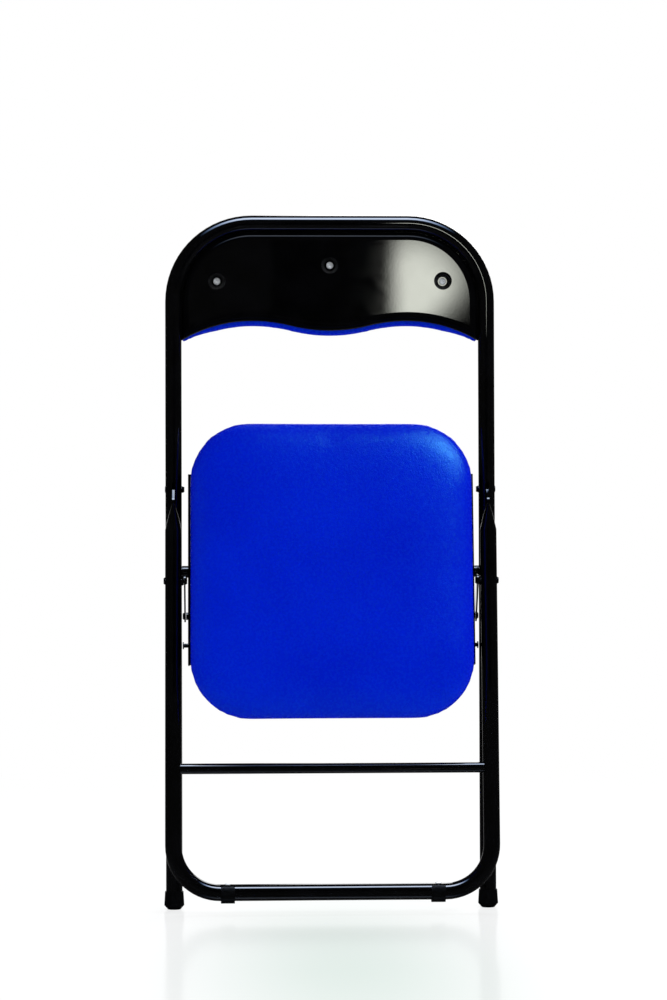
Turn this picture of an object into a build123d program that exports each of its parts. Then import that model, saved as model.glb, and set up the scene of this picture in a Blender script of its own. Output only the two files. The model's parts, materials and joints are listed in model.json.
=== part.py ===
from build123d import *
import os
from math import atan2, cos, radians, sin, tan

# Padded folding chair of bent steel tube, folded flat and standing on its front feet.
# Millimetres. X runs across the chair, +Y towards its front, +Z up, the floor is Z = 0.
# "Rearward" below is a distance behind the plane of the front tubes, so it runs along -Y.

# Overall sizes
OVERALL_WIDTH = 443.0
OVERALL_HEIGHT = 930.0
FRAME_Y = 27.3          # plane of the front tubes, so that the folded depth is centred on Y = 0
TUBE_DIAMETER = 22.0
TUBE_WALL = 1.2
FIT = 0.05              # radial clearance of a pin in its hole
TOUCH = 0.2             # gap between pieces that rest on each other
WELD_GAP = 0.02         # gap left where a coped end is welded to a tube

# Back frame and its foot caps
TOP_BEND_RADIUS = 105.0
CAP_BULGE = 2.4         # wall of the cap where it is fullest
CAP_LIP = 1.3           # wall at its mouth
CAP_SOLE_TAPER = 2.5    # the sole is this much inside the tube's outline
CAP_HEIGHT = 24.0
CAP_SOLE_HEIGHT = 5.5
CAP_FLOOR = 5.0

# Backrest
PANEL_REARWARD = 8.0    # rear face of the panel
PANEL_RIM_RADIUS = 11.5
PANEL_DEPTH = 12.0
PANEL_SHEET = 1.5
PANEL_END_DROP = 168.0  # from the top of the frame to the ends of the lower edge
PANEL_CREST_DROP = 142.0
PANEL_MIDDLE_DROP = 155.0
PANEL_CREST_IN = 95.5   # from the inner side of the tube
DISH_DIAMETER = 24.0
DISH_FLOOR_DIAMETER = 12.0
BACK_SCREW_IN = 47.5    # from the inner side of the tube
BACK_SCREW_SIDE_DROP = 88.5
BACK_SCREW_MIDDLE_DROP = 67.0
BACK_SCREW_DIAMETER = 4.0
BACK_SCREW_HEAD = 9.5
BACK_SCREW_HEAD_HEIGHT = 2.2
BACK_BOARD_THICKNESS = 6.0
BACK_BOARD_INSET = 0.6
BACK_PAD_THICKNESS = 27.5
BACK_PAD_SIDE_GAP = 0.6
BACK_PAD_DROP = 6.5     # the pad shows this far below the panel
BACK_PAD_CORNER = 2.5
BACK_PAD_CROWN_REACH = 34.0

# Rear leg: a U of the same tube, flattened at its upper ends
LEG_PIVOT_Z = 561.5
LEG_LEAN = 5.0          # degrees, foot rearward, when folded
LEG_GAP = 6.5           # between the front tube and the leg at the link pivot
LEG_BOTTOM_Z = 29.0     # axis of the lower bar
LEG_BEND_RADIUS = 62.0
EAR_THICKNESS = 3.0
EAR_END_RADIUS = 7.6
EAR_FOOT_DROP = 18.0    # the ear meets the leg this far below its pivot
EAR_FOOT_RADIUS = 7.9
TAPER_LENGTH = 36.5
TAPER_MIDDLE = 0.62     # share of the tube's width left half way up the taper
SLOT_SIDE_GAP = 0.6
SLOT_ABOVE = 9.5
SLOT_FOOT_GAP = 5.0     # the slot runs this far below the ear's foot
BRACE_Z = 191.0
BRACE_DIAMETER = 14.0
BRACE_WALL = 1.0
GLIDE_BEND_GAP = 0.5    # straight bar left between a glide and the bend
GLIDE_LENGTH = 18.4
GLIDE_WALL = 3.2
GLIDE_COVER = 8.0       # height of the saddle's lips above the bar's axis

# Fold linkage, heights when folded
LEG_RIVET_DIAMETER = 7.0
LEG_RIVET_HEAD = 9.5
LEG_RIVET_HEAD_HEIGHT = 3.5
LEG_RIVET_OUTER_HEIGHT = 0.6
HEAD_TIP = 0.75         # share of a head's width left at its tip
SEAT_BAR_Z = 451.0
SEAT_BAR_DIAMETER = 12.0
SEAT_BAR_WALL = 1.2
SLEEVE_DIAMETER = 16.0
LINK_LEG_Z = 439.0
LINK_STUD_Z = 391.5
STOP_PIN_Z = 352.0
STOP_PIN_FORWARD = 1.4
LINK_WIDTH = 16.0
LINK_THICKNESS = 2.2
LINK_BRACKET_GAP = 3.2  # between a link and its seat bracket
LINK_RIVET_DIAMETER = 6.0
LINK_RIVET_HEAD = 10.0
LINK_RIVET_OUTER_HEIGHT = 2.0
LINK_HEAD_HEIGHT = 2.2
SPACER_DIAMETER = 13.0
SPACER_TIP_DIAMETER = 10.0
STUD_SHOULDER = 10.0
STOP_PIN_DIAMETER = 5.5
STOP_PIN_FLANGE = 9.5
STOP_PIN_FLANGE_THICKNESS = 1.6
STOP_PIN_REACH = 7.6

# Seat
SEAT_LEAN = 7.5         # degrees, rear edge rearward, when folded
SEAT_SIDE_GAP = 12.0    # between the pad and the front tubes
SEAT_LENGTH = 394.0
SEAT_CORNER = 78.0
SEAT_BACK_SHIFT = 4.0   # seat centre towards its rear edge, from the pivot bar
SEAT_BOARD_RISE = 28.0  # underside of the board above the pivot bar's axis
SEAT_BOARD_THICKNESS = 10.0
SEAT_BOARD_INSET = 4.0
SEAT_PAD_THICKNESS = 39.0
SEAT_CROWN_REACH = 150.0
SEAT_CORNER_TIGHTEN = 1.6
BRACKET_SIDE_GAP = 8.5  # between a bracket and the front tube
BRACKET_SHEET = 2.5
BRACKET_LENGTH = 256.0
BRACKET_SKIRT = 14.0
BRACKET_FLANGE = 27.0
BRACKET_BAR_RADIUS = 14.0
BRACKET_STUD_RADIUS = 11.0
BRACKET_PIN_RADIUS = 9.0
BRACKET_SCREW_OUT = 80.0  # from the pivot bar, along the flange
BRACKET_SCREW_DIAMETER = 4.0
BRACKET_SCREW_HEAD = 8.0
BRACKET_SCREW_HEAD_HEIGHT = 2.4
BRACKET_SCREW_REACH = 7.0
BRACKET_SCREW_END_GAP = 0.5

# Shape of a pad's section: the widest level's share of the thickness, and the crown's fullness
PAD_BELLY = 0.3
PAD_UNDERCUT = 7.0
PAD_FULLNESS = 2.6
PAD_BELLY_STEPS = 3
PAD_CROWN_STEPS = 9
PAD_CROWN_SHARE = 0.8   # how much of its reach the crown climbs

# Sizes that follow
TUBE_RADIUS = TUBE_DIAMETER / 2
TUBE_BORE = TUBE_RADIUS - TUBE_WALL
AXIS_X = OVERALL_WIDTH / 2 - TUBE_RADIUS
INNER_X = AXIS_X - TUBE_RADIUS
TOP_Z = OVERALL_HEIGHT - TUBE_RADIUS
LEG_REARWARD = TUBE_DIAMETER + LEG_GAP
CAP_RADIUS = TUBE_RADIUS + CAP_BULGE
PANEL_END_Z = OVERALL_HEIGHT - PANEL_END_DROP
PANEL_CREST_Z = OVERALL_HEIGHT - PANEL_CREST_DROP
PANEL_MIDDLE_Z = OVERALL_HEIGHT - PANEL_MIDDLE_DROP
PANEL_CREST_X = INNER_X - PANEL_CREST_IN
BACK_SCREW_X = INNER_X - BACK_SCREW_IN
BACK_SCREW_SIDE_Z = OVERALL_HEIGHT - BACK_SCREW_SIDE_DROP
BACK_SCREW_MIDDLE_Z = OVERALL_HEIGHT - BACK_SCREW_MIDDLE_DROP
SEAT_WIDTH = 2 * (INNER_X - SEAT_SIDE_GAP)
BRACKET_OUTER_X = INNER_X - BRACKET_SIDE_GAP
LINK_INNER_X = BRACKET_OUTER_X + LINK_BRACKET_GAP
LINK_OUTER_X = LINK_INNER_X + LINK_THICKNESS
SLOT_BELOW = EAR_FOOT_DROP + SLOT_FOOT_GAP
GLIDE_X = AXIS_X - LEG_BEND_RADIUS - GLIDE_BEND_GAP - GLIDE_LENGTH / 2
SIDES = (("left", -1), ("right", 1))
ON_FOOT = (Align.CENTER, Align.CENTER, Align.MIN)


def depth_plane(rearward):
    """Upright plane across the chair, at a distance behind the front tubes."""
    return Plane.XZ.offset(rearward - FRAME_Y)


def screw_seat(x, height, rearward):
    """Upright plane across the chair, centred on a screw."""
    return Plane(origin=(x, FRAME_Y - rearward, height), x_dir=(1, 0, 0), z_dir=(0, -1, 0))


def leaning_plane(lean, rearward, height):
    """Plane of a piece that leans rearward at its foot; local y runs up the piece."""
    up_tilt = radians(lean)
    return Plane(
        origin=(0, FRAME_Y - rearward, height),
        x_dir=(1, 0, 0),
        z_dir=(0, -cos(up_tilt), sin(up_tilt)),
    )


def across(x, rearward, height, direction=1):
    """Plane square to the X axis, at a point of the chair's side view; local y runs up."""
    return Plane(
        origin=(x, FRAME_Y - rearward, height),
        x_dir=(0, direction, 0),
        z_dir=(direction, 0, 0),
    )


def tube_section(plane):
    """Ring of the chair's tube on a plane."""
    with BuildSketch(plane) as ring:
        Circle(TUBE_RADIUS)
        Circle(TUBE_BORE, mode=Mode.SUBTRACT)
    return ring.sketch


def tube_u(plane, start, bar, bend):
    """Tube bent into a U in a plane: two legs that run from a level to a cross bar."""
    toward = 1 if bar > start else -1
    straight = abs(bar - start) - bend
    leg_end = Plane(
        origin=plane.from_local_coords((-AXIS_X, start, 0)),
        x_dir=plane.x_dir,
        z_dir=plane.y_dir * toward,
    )
    bend_centre = plane.from_local_coords((bend - AXIS_X, bar - toward * bend, 0))
    bar_end = Plane(
        origin=plane.from_local_coords((bend - AXIS_X, bar, 0)),
        x_dir=plane.y_dir,
        z_dir=plane.x_dir,
    )
    with BuildPart() as bent_tube:
        extrude(tube_section(leg_end), amount=straight)
        revolve(
            tube_section(leg_end.offset(straight)),
            axis=Axis(bend_centre, plane.z_dir * -toward),
            revolution_arc=90,
        )
        extrude(tube_section(bar_end), amount=AXIS_X - bend)
        mirror(about=Plane.YZ)
    return bent_tube.part


def pad_levels(thickness, reach):
    """Inset and height of each level of a crowned pad whose lower edge is drawn in."""
    belly = PAD_BELLY * thickness
    rise = thickness - belly
    levels = []
    for step in range(PAD_BELLY_STEPS):
        turn = radians(90 * step / PAD_BELLY_STEPS)
        levels.append((PAD_UNDERCUT * (1 - sin(turn)), belly * (1 - cos(turn))))
    for step in range(PAD_CROWN_STEPS):
        share = PAD_CROWN_SHARE * (step / (PAD_CROWN_STEPS - 1)) ** 2
        fill = (1 - (1 - share) ** PAD_FULLNESS) ** (1 / PAD_FULLNESS)
        levels.append((share * reach, belly + rise * fill))
    return levels


def back_outline(inset, drop=0.0, corner=0.0):
    """Outline of the backrest inside the tube: round top corners and a wavy lower edge."""
    half = INNER_X - TOUCH - inset
    top = TOP_Z - TUBE_RADIUS - TOUCH - inset
    bend = TOP_BEND_RADIUS - TUBE_RADIUS - TOUCH - inset
    lift = inset - drop
    slope = 2 * atan2(PANEL_CREST_Z - PANEL_END_Z, INNER_X - PANEL_CREST_X)
    middle = (0, PANEL_MIDDLE_Z + lift)
    crest = (PANEL_CREST_X, PANEL_CREST_Z + lift)
    turn = ((middle[0] + crest[0]) / 2, (middle[1] + crest[1]) / 2)
    end_x = half - corner * (1 + sin(slope))
    end = (end_x, crest[1] - (end_x - crest[0]) * tan(slope / 2))
    side_foot = (half, end[1] + corner * cos(slope))
    with BuildSketch() as outline:
        with BuildLine():
            valley = TangentArc(middle, turn, tangent=(1, 0))
            TangentArc(turn, crest, tangent=valley % 1)
            wave = TangentArc(crest, end, tangent=(1, 0))
            if corner:
                TangentArc(end, side_foot, tangent=wave % 1)
            side = Line(side_foot, (half, top - bend))
            shoulder = TangentArc(side @ 1, (half - bend, top), tangent=(0, 1))
            Line(shoulder @ 1, (0, top))
            mirror(about=Plane.YZ)
        make_face()
    return outline.sketch


os.makedirs("parts", exist_ok=True)

LEG = leaning_plane(LEG_LEAN, LEG_REARWARD, LINK_LEG_Z)
SEAT = leaning_plane(SEAT_LEAN, 0, SEAT_BAR_Z)


def leg_station(height):
    """Distance along the rear leg from the link's pivot to a height above the floor."""
    return (height - LINK_LEG_Z) / cos(radians(LEG_LEAN))


def leg_square(x, height):
    """Plane square to the rear leg at a height above the floor."""
    centre = LEG.from_local_coords((x, leg_station(height), 0))
    return Plane(origin=centre, x_dir=(1, 0, 0), z_dir=LEG.y_dir)


def leg_rearward(height):
    """How far the rear leg's axis lies behind the front tubes at a height."""
    return LEG_REARWARD + (LINK_LEG_Z - height) * tan(radians(LEG_LEAN))


# Back frame: one tube bent into an inverted U, both front legs and the back
frame_tube = tube_u(depth_plane(0), CAP_FLOOR, TOP_Z, TOP_BEND_RADIUS)
slot_height = SLOT_ABOVE + SLOT_BELOW
slot_middle_z = LEG_PIVOT_Z + (SLOT_ABOVE - SLOT_BELOW) / 2
with BuildPart() as back_frame:
    add(frame_tube)
    for _, side in SIDES:
        with Locations((side * AXIS_X, FRAME_Y - TUBE_RADIUS, slot_middle_z)):
            Box(EAR_THICKNESS + 2 * SLOT_SIDE_GAP, TUBE_RADIUS, slot_height, mode=Mode.SUBTRACT)
        with Locations(across(side * AXIS_X, 0, LEG_PIVOT_Z)):
            Cylinder(LEG_RIVET_DIAMETER / 2 + FIT, 2 * TUBE_DIAMETER, mode=Mode.SUBTRACT)
back_frame.part.label = "back_frame"
export_step(back_frame.part, "parts/back_frame.step")

# Foot caps: moulded sockets over the ends of the front tubes
for side_name, side in SIDES:
    with BuildPart() as foot_cap:
        with Locations((side * AXIS_X, FRAME_Y, 0)):
            Cone(TUBE_RADIUS - CAP_SOLE_TAPER, CAP_RADIUS, CAP_SOLE_HEIGHT, align=ON_FOOT)
        with Locations((side * AXIS_X, FRAME_Y, CAP_SOLE_HEIGHT)):
            Cone(CAP_RADIUS, TUBE_RADIUS + CAP_LIP, CAP_HEIGHT - CAP_SOLE_HEIGHT, align=ON_FOOT)
        with Locations((side * AXIS_X, FRAME_Y, CAP_FLOOR)):
            Cylinder(TUBE_RADIUS + FIT, CAP_HEIGHT, align=ON_FOOT, mode=Mode.SUBTRACT)
    foot_cap.part.label = f"foot_cap_{side_name}"
    export_step(foot_cap.part, f"parts/foot_cap_{side_name}.step")

# Back panel: a pressed tray with a rolled rim and three dished screw seats
back_screw_places = (
    (-BACK_SCREW_X, BACK_SCREW_SIDE_Z),
    (0, BACK_SCREW_MIDDLE_Z),
    (BACK_SCREW_X, BACK_SCREW_SIDE_Z),
)
panel_front = PANEL_REARWARD - PANEL_DEPTH
dish_depth = PANEL_DEPTH - PANEL_SHEET
dish_floor = DISH_FLOOR_DIAMETER / 2
dish_mouth = DISH_DIAMETER / 2
with BuildPart() as panel_hollow:
    with BuildSketch(depth_plane(panel_front)):
        add(back_outline(PANEL_SHEET))
    extrude(amount=dish_depth)
    chamfer(panel_hollow.edges().group_by(Axis.Y)[0], length=(PANEL_RIM_RADIUS - PANEL_SHEET) / 2)
    for place_x, place_z in back_screw_places:
        with Locations(screw_seat(place_x, place_z, panel_front)):
            Cone(
                dish_floor + PANEL_SHEET,
                dish_mouth + PANEL_SHEET,
                dish_depth,
                align=ON_FOOT,
                mode=Mode.SUBTRACT,
            )
with BuildPart() as back_panel:
    with BuildSketch(depth_plane(panel_front)):
        add(back_outline(0))
    extrude(amount=PANEL_DEPTH)
    fillet(back_panel.edges().group_by(Axis.Y)[0], radius=PANEL_RIM_RADIUS)
    add(panel_hollow.part, mode=Mode.SUBTRACT)
    for place_x, place_z in back_screw_places:
        with Locations(screw_seat(place_x, place_z, panel_front + PANEL_SHEET)):
            Cone(dish_floor, dish_mouth, dish_depth, align=ON_FOOT, mode=Mode.SUBTRACT)
        with Locations(screw_seat(place_x, place_z, panel_front)):
            Cylinder(BACK_SCREW_DIAMETER / 2 + FIT, PANEL_DEPTH, mode=Mode.SUBTRACT)
back_panel.part.label = "back_panel"
export_step(back_panel.part, "parts/back_panel.step")

# Back board: the flat base that the back pad is drawn over
with BuildPart() as back_board:
    with BuildSketch(depth_plane(panel_front)):
        add(back_outline(BACK_BOARD_INSET))
    extrude(amount=-BACK_BOARD_THICKNESS)
    with BuildSketch(depth_plane(panel_front)):
        with Locations(*back_screw_places):
            Circle(BACK_SCREW_DIAMETER / 2 + FIT)
    extrude(amount=-BACK_BOARD_THICKNESS, mode=Mode.SUBTRACT)
back_board.part.label = "back_board"
export_step(back_board.part, "parts/back_board.step")

# Back screws: pan heads in the dishes, shanks through the panel into the board
back_screw_shank = PANEL_SHEET + BACK_BOARD_THICKNESS
with BuildPart() as back_screws:
    for place_x, place_z in back_screw_places:
        with Locations(screw_seat(place_x, place_z, panel_front + PANEL_SHEET)):
            Cone(
                BACK_SCREW_HEAD / 2,
                HEAD_TIP * BACK_SCREW_HEAD / 2,
                BACK_SCREW_HEAD_HEIGHT,
                align=ON_FOOT,
            )
        with Locations(screw_seat(place_x, place_z, panel_front - BACK_BOARD_THICKNESS)):
            Cylinder(BACK_SCREW_DIAMETER / 2, back_screw_shank, align=ON_FOOT)
back_screws.part.label = "back_screws"
export_step(back_screws.part, "parts/back_screws.step")

# Back pad: a crowned cushion inside the tube, its lower edge below the panel's
back_pad_rear = panel_front - BACK_BOARD_THICKNESS - TOUCH
with BuildPart() as back_pad:
    for inset, height in pad_levels(BACK_PAD_THICKNESS, BACK_PAD_CROWN_REACH):
        with BuildSketch(depth_plane(back_pad_rear - height)):
            add(
                back_outline(
                    BACK_PAD_SIDE_GAP + inset,
                    BACK_PAD_DROP + BACK_PAD_SIDE_GAP,
                    BACK_PAD_CORNER,
                )
            )
    loft(ruled=True)
back_pad.part.label = "back_pad"
export_step(back_pad.part, "parts/back_pad.step")

# Rear leg: a U of tube whose upper ends taper into flat ears on the front tubes' pivots
ear_foot_z = LEG_PIVOT_Z - EAR_FOOT_DROP
taper_foot_z = ear_foot_z - TAPER_LENGTH
taper_sections = (
    (taper_foot_z, TUBE_RADIUS, TUBE_RADIUS),
    ((taper_foot_z + ear_foot_z) / 2, TAPER_MIDDLE * TUBE_RADIUS, (TUBE_RADIUS + EAR_FOOT_RADIUS) / 2),
    (ear_foot_z, EAR_THICKNESS / 2, EAR_FOOT_RADIUS),
)
leg_tube = tube_u(LEG, leg_station(taper_foot_z), leg_station(LEG_BOTTOM_Z), LEG_BEND_RADIUS)
with BuildPart() as rear_leg_frame:
    add(leg_tube)
    for _, side in SIDES:
        for height, half_width, half_depth in taper_sections:
            with BuildSketch(leg_square(side * AXIS_X, height)):
                Ellipse(half_width, half_depth)
        loft(ruled=True)
        with BuildSketch(across(side * AXIS_X - EAR_THICKNESS / 2, 0, 0)):
            with Locations((0, LEG_PIVOT_Z)):
                Circle(EAR_END_RADIUS)
            with Locations((-leg_rearward(ear_foot_z), ear_foot_z)):
                Circle(EAR_FOOT_RADIUS)
            make_hull()
        extrude(amount=EAR_THICKNESS)
        with Locations(across(side * AXIS_X, 0, LEG_PIVOT_Z)):
            Cylinder(LEG_RIVET_DIAMETER / 2 + FIT, 2 * TUBE_DIAMETER, mode=Mode.SUBTRACT)
        with Locations(across(side * AXIS_X, LEG_REARWARD, LINK_LEG_Z)):
            Cylinder(LINK_RIVET_DIAMETER / 2 + FIT, 2 * TUBE_DIAMETER, mode=Mode.SUBTRACT)
rear_leg_frame.part.label = "rear_leg_frame"
export_step(rear_leg_frame.part, "parts/rear_leg_frame.step")

# Rear cross brace: a thin tube with coped ends, welded between the rear legs
with BuildPart() as rear_cross_brace:
    with BuildSketch(across(0, leg_rearward(BRACE_Z), BRACE_Z)):
        Circle(BRACE_DIAMETER / 2)
        Circle(BRACE_DIAMETER / 2 - BRACE_WALL, mode=Mode.SUBTRACT)
    extrude(amount=AXIS_X - TUBE_RADIUS / 2, both=True)
    for _, side in SIDES:
        with Locations(leg_square(side * AXIS_X, BRACE_Z)):
            Cylinder(TUBE_RADIUS + WELD_GAP, 2 * BRACE_DIAMETER, mode=Mode.SUBTRACT)
rear_cross_brace.part.label = "rear_cross_brace"
export_step(rear_cross_brace.part, "parts/rear_cross_brace.step")

# Rear glides: moulded saddles that clip under the lower bar
with BuildPart() as rear_glides:
    for _, side in SIDES:
        glide_centre = leg_square(side * GLIDE_X, LEG_BOTTOM_Z).origin
        with BuildSketch(Plane(origin=glide_centre, x_dir=LEG.z_dir, z_dir=(1, 0, 0))):
            Circle(TUBE_RADIUS + GLIDE_WALL)
            Circle(TUBE_RADIUS + FIT, mode=Mode.SUBTRACT)
            with Locations((0, -GLIDE_COVER)):
                Rectangle(
                    2 * TUBE_DIAMETER,
                    2 * TUBE_DIAMETER,
                    align=(Align.CENTER, Align.MAX),
                    mode=Mode.SUBTRACT,
                )
        extrude(amount=GLIDE_LENGTH / 2, both=True)
rear_glides.part.label = "rear_glides"
export_step(rear_glides.part, "parts/rear_glides.step")

# Leg pivot rivets: through each front tube and the ear in its slot, domed on the inner side
with BuildPart() as leg_pivot_rivets:
    for _, side in SIDES:
        with Locations(across(side * INNER_X, 0, LEG_PIVOT_Z, side)):
            Cylinder(LEG_RIVET_DIAMETER / 2, TUBE_DIAMETER, align=ON_FOOT)
        with Locations(across(side * INNER_X, 0, LEG_PIVOT_Z, -side)):
            Cone(LEG_RIVET_HEAD / 2, HEAD_TIP * LEG_RIVET_HEAD / 2, LEG_RIVET_HEAD_HEIGHT, align=ON_FOOT)
        with Locations(across(side * (INNER_X + TUBE_DIAMETER), 0, LEG_PIVOT_Z, side)):
            Cone(LEG_RIVET_HEAD / 2, HEAD_TIP * LEG_RIVET_HEAD / 2, LEG_RIVET_OUTER_HEIGHT, align=ON_FOOT)
leg_pivot_rivets.part.label = "leg_pivot_rivets"
export_step(leg_pivot_rivets.part, "parts/leg_pivot_rivets.step")

# Seat pivot bar: a tube with coped ends, welded between the front tubes
with BuildPart() as seat_pivot_bar:
    with BuildSketch(across(0, 0, SEAT_BAR_Z)):
        Circle(SEAT_BAR_DIAMETER / 2)
        Circle(SEAT_BAR_DIAMETER / 2 - SEAT_BAR_WALL, mode=Mode.SUBTRACT)
    extrude(amount=AXIS_X - TUBE_RADIUS / 2, both=True)
    for _, side in SIDES:
        with Locations((side * AXIS_X, FRAME_Y, SEAT_BAR_Z)):
            Cylinder(TUBE_RADIUS + WELD_GAP, 2 * SEAT_BAR_DIAMETER, mode=Mode.SUBTRACT)
seat_pivot_bar.part.label = "seat_pivot_bar"
export_step(seat_pivot_bar.part, "parts/seat_pivot_bar.step")

# Pivot sleeves: spacers on the bar between the front tubes and the seat brackets
with BuildPart() as pivot_sleeves:
    for _, side in SIDES:
        with BuildSketch(across(side * (BRACKET_OUTER_X + TOUCH), 0, SEAT_BAR_Z, side)):
            Circle(SLEEVE_DIAMETER / 2)
            Circle(SEAT_BAR_DIAMETER / 2 + FIT, mode=Mode.SUBTRACT)
        extrude(amount=INNER_X - BRACKET_OUTER_X - 2 * TOUCH)
pivot_sleeves.part.label = "pivot_sleeves"
export_step(pivot_sleeves.part, "parts/pivot_sleeves.step")

# Seat brackets: folded sheet with a deep side plate on the bar and a flange under the board
stud_local = SEAT.to_local_coords((0, FRAME_Y, LINK_STUD_Z))
pin_local = SEAT.to_local_coords((0, FRAME_Y + STOP_PIN_FORWARD, STOP_PIN_Z))
bracket_screw_places = [
    (side * (BRACKET_OUTER_X - BRACKET_FLANGE / 2), step * BRACKET_SCREW_OUT)
    for _, side in SIDES
    for step in (-1, 1)
]
flange_under = SEAT_BOARD_RISE - BRACKET_SHEET
for side_name, side in SIDES:
    side_plane = Plane(
        origin=SEAT.from_local_coords((side * BRACKET_OUTER_X, 0, 0)),
        x_dir=SEAT.y_dir,
        z_dir=(1, 0, 0),
    )
    with BuildPart() as seat_bracket:
        with BuildSketch(side_plane):
            Circle(BRACKET_BAR_RADIUS)
            with Locations((stud_local.Y, stud_local.Z)):
                Circle(BRACKET_STUD_RADIUS)
            with Locations((pin_local.Y, pin_local.Z)):
                Circle(BRACKET_PIN_RADIUS)
            with Locations((0, SEAT_BOARD_RISE)):
                Rectangle(BRACKET_LENGTH, BRACKET_SKIRT, align=(Align.CENTER, Align.MAX))
            make_hull()
        extrude(amount=-side * BRACKET_SHEET)
        with BuildSketch(SEAT.offset(flange_under)):
            with Locations((side * (BRACKET_OUTER_X - BRACKET_FLANGE / 2), 0)):
                Rectangle(BRACKET_FLANGE, BRACKET_LENGTH)
        extrude(amount=BRACKET_SHEET)
        with BuildSketch(side_plane):
            Circle(SEAT_BAR_DIAMETER / 2 + FIT)
            with Locations((stud_local.Y, stud_local.Z)):
                Circle(LINK_RIVET_DIAMETER / 2 + FIT)
            with Locations((pin_local.Y, pin_local.Z)):
                Circle(STOP_PIN_DIAMETER / 2 + FIT)
        extrude(amount=-side * BRACKET_SHEET, mode=Mode.SUBTRACT)
        with BuildSketch(SEAT.offset(flange_under)):
            with Locations(*bracket_screw_places):
                Circle(BRACKET_SCREW_DIAMETER / 2 + FIT)
        extrude(amount=BRACKET_SHEET, mode=Mode.SUBTRACT)
    seat_bracket.part.label = f"seat_bracket_{side_name}"
    export_step(seat_bracket.part, f"parts/seat_bracket_{side_name}.step")

# Seat board: the painted base between the brackets and the pad
seat_centre = (0, -SEAT_BACK_SHIFT)
with BuildPart() as seat_board:
    with BuildSketch(SEAT.offset(SEAT_BOARD_RISE)):
        with Locations(seat_centre):
            RectangleRounded(
                SEAT_WIDTH - 2 * SEAT_BOARD_INSET,
                SEAT_LENGTH - 2 * SEAT_BOARD_INSET,
                SEAT_CORNER - SEAT_BOARD_INSET,
            )
    extrude(amount=SEAT_BOARD_THICKNESS)
    with BuildSketch(SEAT.offset(SEAT_BOARD_RISE)):
        with Locations(*bracket_screw_places):
            Circle(BRACKET_SCREW_DIAMETER / 2 + FIT)
    extrude(amount=BRACKET_SCREW_REACH, mode=Mode.SUBTRACT)
seat_board.part.label = "seat_board"
export_step(seat_board.part, "parts/seat_board.step")

# Seat bracket screws: pan heads under the flanges, shanks in the board
with BuildPart() as seat_bracket_screws:
    for place_x, place_y in bracket_screw_places:
        head_seat = SEAT.from_local_coords((place_x, place_y, flange_under))
        with Locations(Plane(origin=head_seat, z_dir=-SEAT.z_dir)):
            Cone(
                BRACKET_SCREW_HEAD / 2,
                HEAD_TIP * BRACKET_SCREW_HEAD / 2,
                BRACKET_SCREW_HEAD_HEIGHT,
                align=ON_FOOT,
            )
        with Locations(Plane(origin=head_seat, z_dir=SEAT.z_dir)):
            Cylinder(
                BRACKET_SCREW_DIAMETER / 2,
                BRACKET_SHEET + BRACKET_SCREW_REACH - BRACKET_SCREW_END_GAP,
                align=ON_FOOT,
            )
seat_bracket_screws.part.label = "seat_bracket_screws"
export_step(seat_bracket_screws.part, "parts/seat_bracket_screws.step")

# Seat pad: a crowned cushion, fullest just above the board
with BuildPart() as seat_pad:
    for inset, height in pad_levels(SEAT_PAD_THICKNESS, SEAT_CROWN_REACH):
        level = SEAT_BOARD_RISE + SEAT_BOARD_THICKNESS + TOUCH + height
        with BuildSketch(SEAT.offset(level)):
            with Locations(seat_centre):
                RectangleRounded(
                    SEAT_WIDTH - 2 * inset,
                    SEAT_LENGTH - 2 * inset,
                    SEAT_CORNER * (1 - SEAT_CORNER_TIGHTEN * inset / SEAT_WIDTH),
                )
    loft(ruled=True)
seat_pad.part.label = "seat_pad"
export_step(seat_pad.part, "parts/seat_pad.step")

# Links: flat bars between the rear legs and the seat brackets
for side_name, side in SIDES:
    with BuildPart() as link:
        with BuildSketch(across(side * LINK_INNER_X, 0, 0, side)):
            with Locations((-side * LEG_REARWARD, LINK_LEG_Z)):
                Circle(LINK_WIDTH / 2)
            with Locations((0, LINK_STUD_Z)):
                Circle(LINK_WIDTH / 2)
            make_hull()
            with Locations((-side * LEG_REARWARD, LINK_LEG_Z), (0, LINK_STUD_Z)):
                Circle(LINK_RIVET_DIAMETER / 2 + FIT, mode=Mode.SUBTRACT)
        extrude(amount=LINK_THICKNESS)
    link.part.label = f"link_{side_name}"
    export_step(link.part, f"parts/link_{side_name}.step")

# Link leg rivets: through the rear leg, the spacer and the link, headed at both ends
with BuildPart() as link_leg_rivets:
    for _, side in SIDES:
        with Locations(across(side * LINK_INNER_X, LEG_REARWARD, LINK_LEG_Z, side)):
            Cylinder(LINK_RIVET_DIAMETER / 2, AXIS_X + TUBE_RADIUS - LINK_INNER_X, align=ON_FOOT)
        with Locations(across(side * LINK_INNER_X, LEG_REARWARD, LINK_LEG_Z, -side)):
            Cone(LINK_RIVET_HEAD / 2, HEAD_TIP * LINK_RIVET_HEAD / 2, LINK_HEAD_HEIGHT, align=ON_FOOT)
        with Locations(across(side * (AXIS_X + TUBE_RADIUS), LEG_REARWARD, LINK_LEG_Z, side)):
            Cone(LINK_RIVET_HEAD / 2, HEAD_TIP * LINK_RIVET_HEAD / 2, LINK_RIVET_OUTER_HEIGHT, align=ON_FOOT)
link_leg_rivets.part.label = "link_leg_rivets"
export_step(link_leg_rivets.part, "parts/link_leg_rivets.step")

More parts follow.
